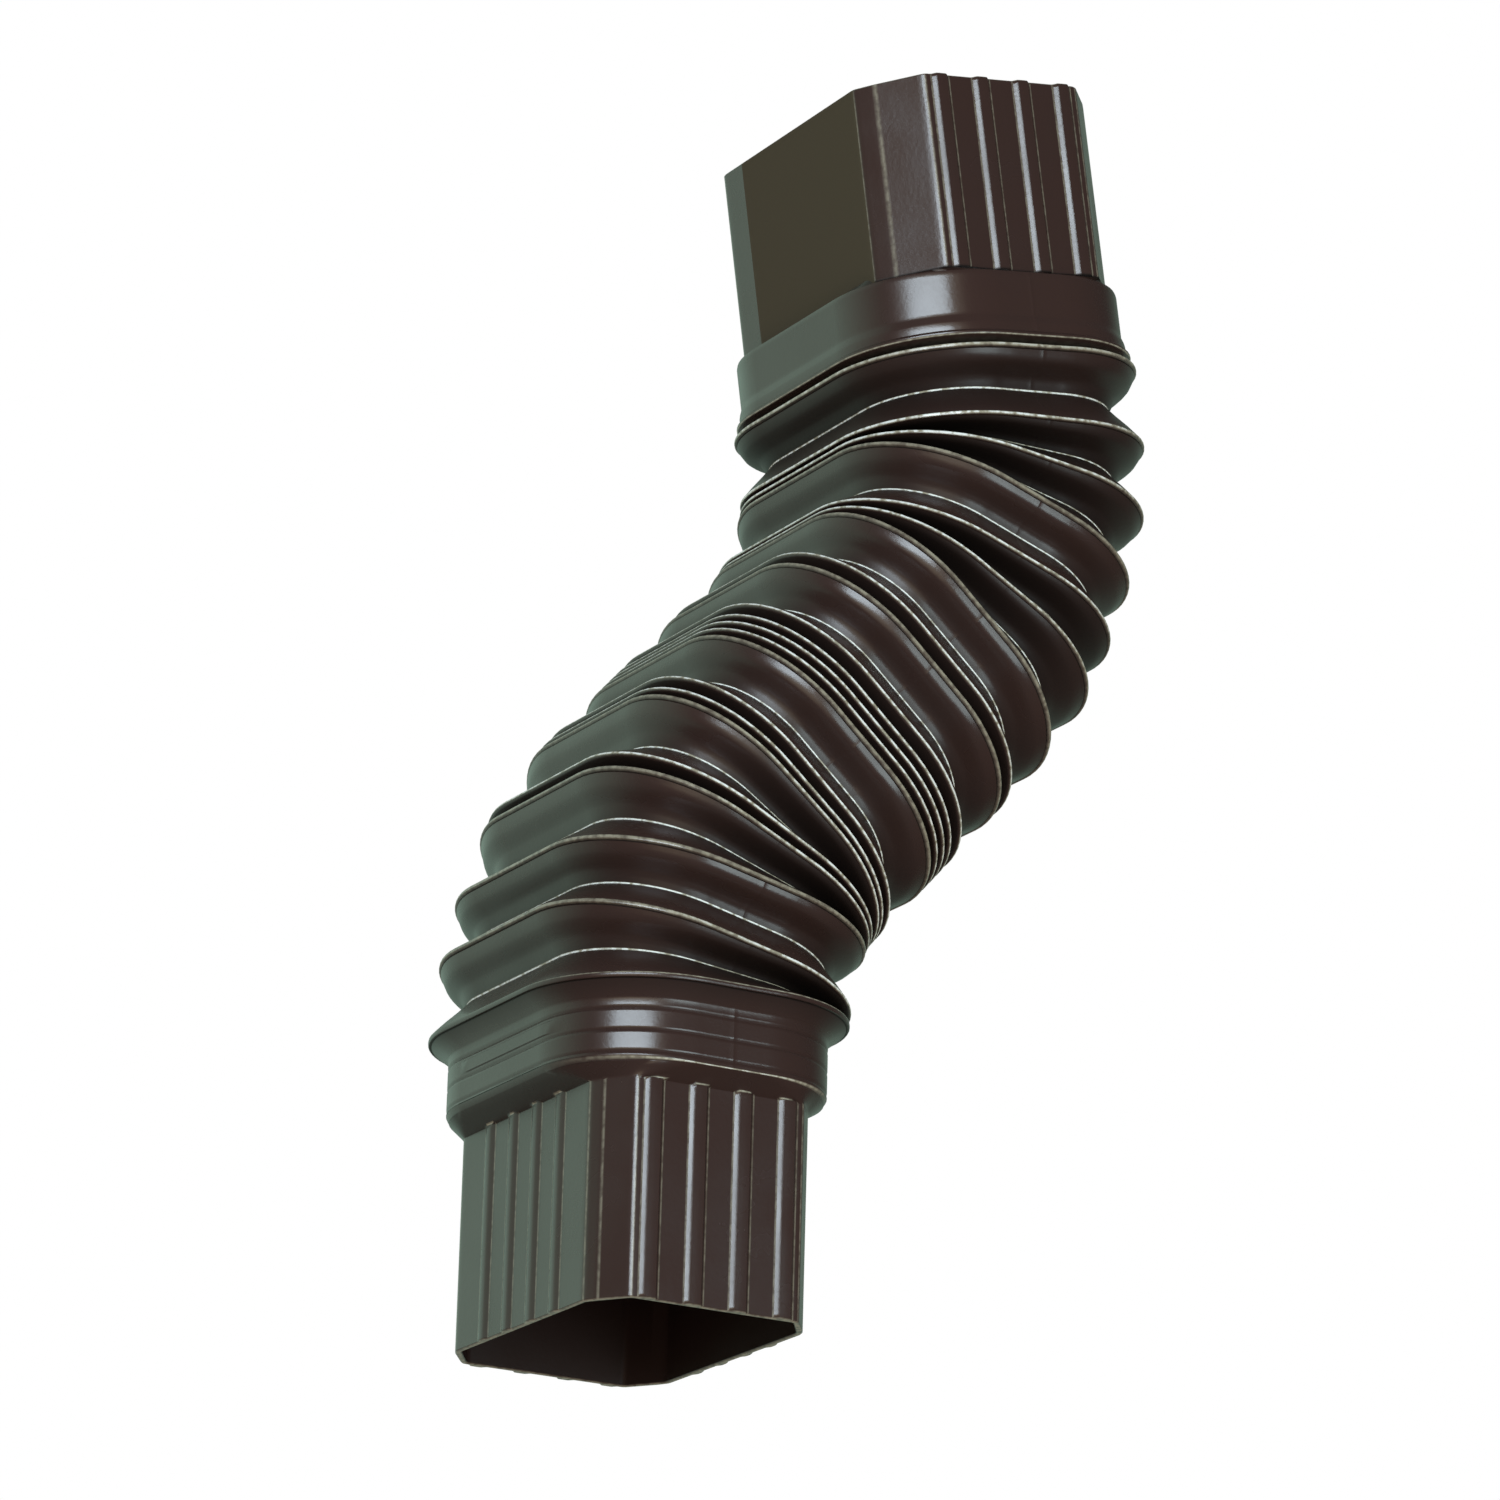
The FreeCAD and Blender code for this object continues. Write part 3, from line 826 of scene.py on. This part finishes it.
def make_plastic():
    """Semi-gloss brown plastic: faint mottling, painted shade in the folds, edges whitened by wear and
    painted highlight, and a matte bare field.
    """
    material = bpy.data.materials.new("brown_plastic")
    material.use_nodes = True
    kit = NodeKit(material.node_tree)
    shader = kit.nodes["Principled BSDF"]
    place = kit.nodes.new("ShaderNodeTexCoord").outputs["Object"]
    mottle = kit.noise(place, *MOTTLE)
    # edge carries whitening, partly wear and partly painted highlight; depth carries painted shade
    edge = kit.attribute("edge")
    depth = kit.attribute("depth")
    panel = kit.attribute("panel")

    patchy = kit.remap(kit.noise(place, *PATCHES), *PATCHES_RANGE, *PATCHES_STRENGTH)
    # Whitening of the edges: partly wear, partly painted highlight
    wear_and_highlight = kit.times(edge, patchy)
    brown = kit.mix("RGBA", mottle, PLASTIC_BROWN, PLASTIC_UMBER)
    # Painted shade: the depth attribute darkens the brown in folds, creases and the bore
    shaded = kit.mix("RGBA", kit.remap(depth, 0, 1, 0, DEEPEST_PAINTED_SHADE), brown, PAINTED_SHADE_BROWN)
    beige = kit.mix("RGBA", kit.remap(wear_and_highlight, 0, BEIGE_WEAR_AND_HIGHLIGHT), shaded, WORN_AND_LIT_BEIGE)
    white = kit.mix("RGBA", kit.remap(wear_and_highlight, BEIGE_WEAR_AND_HIGHLIGHT, 1), beige, WORN_AND_LIT_WHITE)
    field = kit.mix("RGBA", panel, white, PANEL_OLIVE)
    kit.links.new(field, shader.inputs["Base Color"])

    gloss = kit.remap(mottle, *MOTTLE_RANGE, *ROUGHNESS)
    dulled = kit.mix("FLOAT", depth, gloss, DEEP_ROUGHNESS)
    matte = kit.mix("FLOAT", panel, dulled, PANEL_ROUGHNESS)
    kit.links.new(matte, shader.inputs["Roughness"])

    # The painted shade also dims the reflection
    shine = kit.mix("FLOAT", depth, SPECULAR, PAINTED_SHADE_SPECULAR)
    kit.links.new(kit.mix("FLOAT", panel, shine, PANEL_SPECULAR), shader.inputs["Specular IOR Level"])

    bump = kit.nodes.new("ShaderNodeBump")
    bump.inputs["Strength"].default_value = GRAIN_STRENGTH
    bump.inputs["Distance"].default_value = GRAIN_HEIGHT
    kit.links.new(kit.noise(place, *GRAIN), bump.inputs["Height"])
    kit.links.new(bump.outputs["Normal"], shader.inputs["Normal"])
    shader.inputs["IOR"].default_value = PLASTIC_IOR
    return material


# Camera, fitted to the photograph's frame of 1500 by 1500
PHOTO_SIZE = 1500
FOCAL_PIXELS = 6883
CAMERA_AZIMUTH = math.radians(-28.93)
CAMERA_ELEVATION = math.radians(-17.87)
CAMERA_ROLL = math.radians(1.605)
CAMERA_DISTANCE = 1.6138
AIM_RIGHT = 0.02878
AIM_UP = 0.13913
SENSOR_WIDTH = 36
CLIP_NEAR = 0.05
CLIP_FAR = 50


def view_axes():
    """Right, up and backward axes of the photograph's camera."""
    sin_a, cos_a = math.sin(CAMERA_AZIMUTH), math.cos(CAMERA_AZIMUTH)
    sin_e, cos_e = math.sin(CAMERA_ELEVATION), math.cos(CAMERA_ELEVATION)
    level = Vector((cos_a, sin_a, 0))
    back = Vector((sin_a * cos_e, -cos_a * cos_e, sin_e))
    upright = back.cross(level)
    right = level * math.cos(CAMERA_ROLL) + upright * math.sin(CAMERA_ROLL)
    up = upright * math.cos(CAMERA_ROLL) - level * math.sin(CAMERA_ROLL)
    return right, up, back


def make_camera():
    """A long lens at the photograph's viewing angle."""
    right, up, back = view_axes()
    lens = bpy.data.cameras.new("camera")
    lens.sensor_width = SENSOR_WIDTH
    lens.lens = FOCAL_PIXELS * SENSOR_WIDTH / PHOTO_SIZE
    lens.clip_start = CLIP_NEAR
    lens.clip_end = CLIP_FAR
    camera = bpy.data.objects.new("camera", lens)
    turn = Matrix((right, up, back)).transposed().to_4x4()
    place = right * AIM_RIGHT + up * AIM_UP + back * CAMERA_DISTANCE
    camera.matrix_world = Matrix.Translation(place) @ turn
    bpy.context.scene.collection.objects.link(camera)
    bpy.context.scene.camera = camera


# Light
OBJECT_MIDDLE = Vector((0.04, 0, 0.16))


def make_softbox(name, direction, distance, width, height, power, color):
    """An area light that faces the middle of the object."""
    light = bpy.data.lights.new(name, "AREA")
    light.shape = "RECTANGLE"
    light.size = width
    light.size_y = height
    light.energy = power
    light.color = color
    lamp = bpy.data.objects.new(name, light)
    towards = Vector(direction).normalized()
    lamp.location = OBJECT_MIDDLE + towards * distance
    lamp.rotation_mode = "QUATERNION"
    lamp.rotation_quaternion = towards.to_track_quat("Z", "Y")
    bpy.context.scene.collection.objects.link(lamp)


# The room as gloss shows it: dim, with two cool backdrops behind and a warm wall in front
ROOM_SHINE = (0.04, 0.04, 0.042, 1)
BACKDROP_WAY = (-0.59, 0.77, 0.2)
BACKDROP_FADE = (0.5, 0.95)
BACKDROP_SHINE = (0.72, 1.05, 0.86, 1)
FAR_WAY = (0.6, 0.8, 0)
FAR_FADE = (0.6, 1.0)
FAR_SHINE = (0.25, 0.36, 0.29, 1)
WARM_WAY = (-0.6, -0.78, 0.05)
WARM_FADE = (0.8, 0.95)
WARM_SHINE = (1.3, 1.12, 0.75, 1)
# The soft light of the room: dim, with a bounce from below and a pale wall behind and above
ROOM_FILL = (0.07, 0.07, 0.072, 1)
FLOOR_WAY = (0, 0, -1)
FLOOR_FADE = (0, 0.8)
FLOOR_FILL = (0.8, 0.71, 0.64, 1)
REAR_WAY = (0.42, 0.72, 0.55)
REAR_FADE = (0.1, 0.8)
REAR_FILL = (1.2, 1.16, 1.12, 1)
WHITE = (1, 1, 1, 1)


def make_world():
    """White to the camera; around the object a room that gloss and soft light see in their own way."""
    world = bpy.data.worlds.new("studio")
    bpy.context.scene.world = world
    world.use_nodes = True
    kit = NodeKit(world.node_tree)
    room = kit.nodes["Background"]
    path = kit.nodes.new("ShaderNodeLightPath")
    way = kit.nodes.new("ShaderNodeTexCoord").outputs["Generated"]
    shine = ROOM_SHINE
    for direction, fade, color in (
        (FAR_WAY, FAR_FADE, FAR_SHINE),
        (BACKDROP_WAY, BACKDROP_FADE, BACKDROP_SHINE),
        (WARM_WAY, WARM_FADE, WARM_SHINE),
    ):
        shine = kit.mix("RGBA", kit.remap(kit.along(way, direction), *fade), shine, color)
    fill = ROOM_FILL
    for direction, fade, color in ((FLOOR_WAY, FLOOR_FADE, FLOOR_FILL), (REAR_WAY, REAR_FADE, REAR_FILL)):
        fill = kit.mix("RGBA", kit.remap(kit.along(way, direction), *fade), fill, color)
    kit.links.new(kit.mix("RGBA", path.outputs["Is Glossy Ray"], fill, shine), room.inputs["Color"])
    white = kit.nodes.new("ShaderNodeBackground")
    white.inputs["Color"].default_value = WHITE
    choose = kit.nodes.new("ShaderNodeMixShader")
    kit.links.new(path.outputs["Is Camera Ray"], choose.inputs["Fac"])
    kit.links.new(room.outputs["Background"], choose.inputs[1])
    kit.links.new(white.outputs["Background"], choose.inputs[2])
    kit.links.new(choose.outputs["Shader"], kit.nodes["World Output"].inputs["Surface"])


FLOOR_HEIGHT = -0.55
FLOOR_SIZE = 8.0
FLOOR_COLOR = (0.85, 0.85, 0.85, 1)
FLOOR_ROUGHNESS = 0.9


def make_floor():
    """A plain pale floor that is left out of the object's bounce light and reflections."""
    half = FLOOR_SIZE / 2
    mesh = bpy.data.meshes.new("floor")
    corners = [(-half, -half, 0), (half, -half, 0), (half, half, 0), (-half, half, 0)]
    mesh.from_pydata(corners, [], [(0, 1, 2, 3)])
    floor = bpy.data.objects.new("floor", mesh)
    floor.location = (0, 0, FLOOR_HEIGHT)
    floor.visible_diffuse = False
    floor.visible_glossy = False
    material = bpy.data.materials.new("floor_paper")
    material.use_nodes = True
    shader = material.node_tree.nodes["Principled BSDF"]
    shader.inputs["Base Color"].default_value = FLOOR_COLOR
    shader.inputs["Roughness"].default_value = FLOOR_ROUGHNESS
    mesh.materials.append(material)
    bpy.context.scene.collection.objects.link(floor)


bpy.context.scene.view_settings.view_transform = "Standard"
elbow = make_elbow()
elbow.data.materials.append(make_plastic())
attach(elbow, "root")
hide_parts("flex_elbow")
make_camera()
make_world()
make_floor()
make_softbox(
    "key", direction=(-0.621, -0.753, 0.216), distance=1.6, width=1.1, height=0.4, power=18.5,
    color=(0.78, 0.93, 1.06),
)
make_softbox(
    "fill", direction=(0.1524, -0.962, -0.225), distance=1.2, width=0.64, height=0.5, power=5.5,
    color=(0.8, 0.97, 1.0),
)
